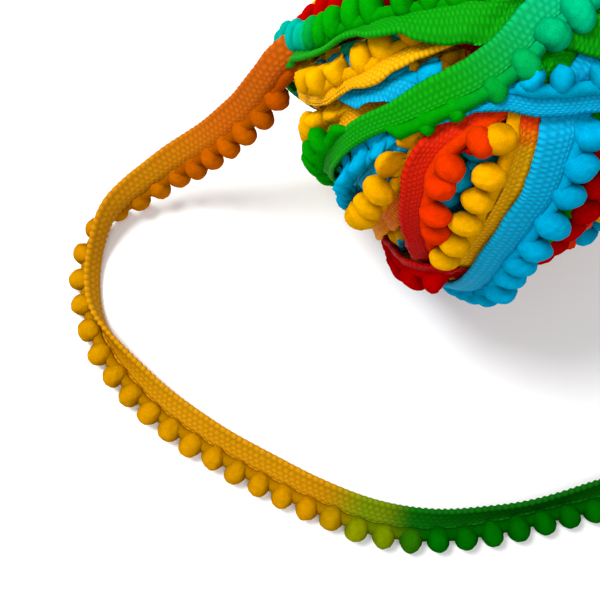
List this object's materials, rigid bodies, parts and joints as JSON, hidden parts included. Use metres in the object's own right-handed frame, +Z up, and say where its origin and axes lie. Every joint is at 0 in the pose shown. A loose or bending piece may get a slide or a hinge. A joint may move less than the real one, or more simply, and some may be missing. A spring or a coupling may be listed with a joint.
{
  "type": "pompom fringe trim",
  "caption": "Wound ball of narrow knitted tape edged with mini pompoms, one end loose and curling around it on the surface; a decorative edging to sew on.",
  "frame": {"origin": "on the surface, under the middle of the ball, in its flat spot", "axes": "+Z up from the surface; +X to the right and +Y away, seen with the loose end lying at the near left"},
  "size_m": [0.1489, 0.1444, 0.0857],
  "materials": {
    "trim_ball": "space-dyed knitted tape and cut pile, matt",
    "trim_tape": "space-dyed knitted tape, slight sheen",
    "trim_pile": "velvety cut pile, matt"
  },
  "bodies": {
    "root": {"wound_ball": "trim_ball", "loose_tape": "trim_tape", "loose_fringe": "trim_pile"}
  },
  "joints": []
}
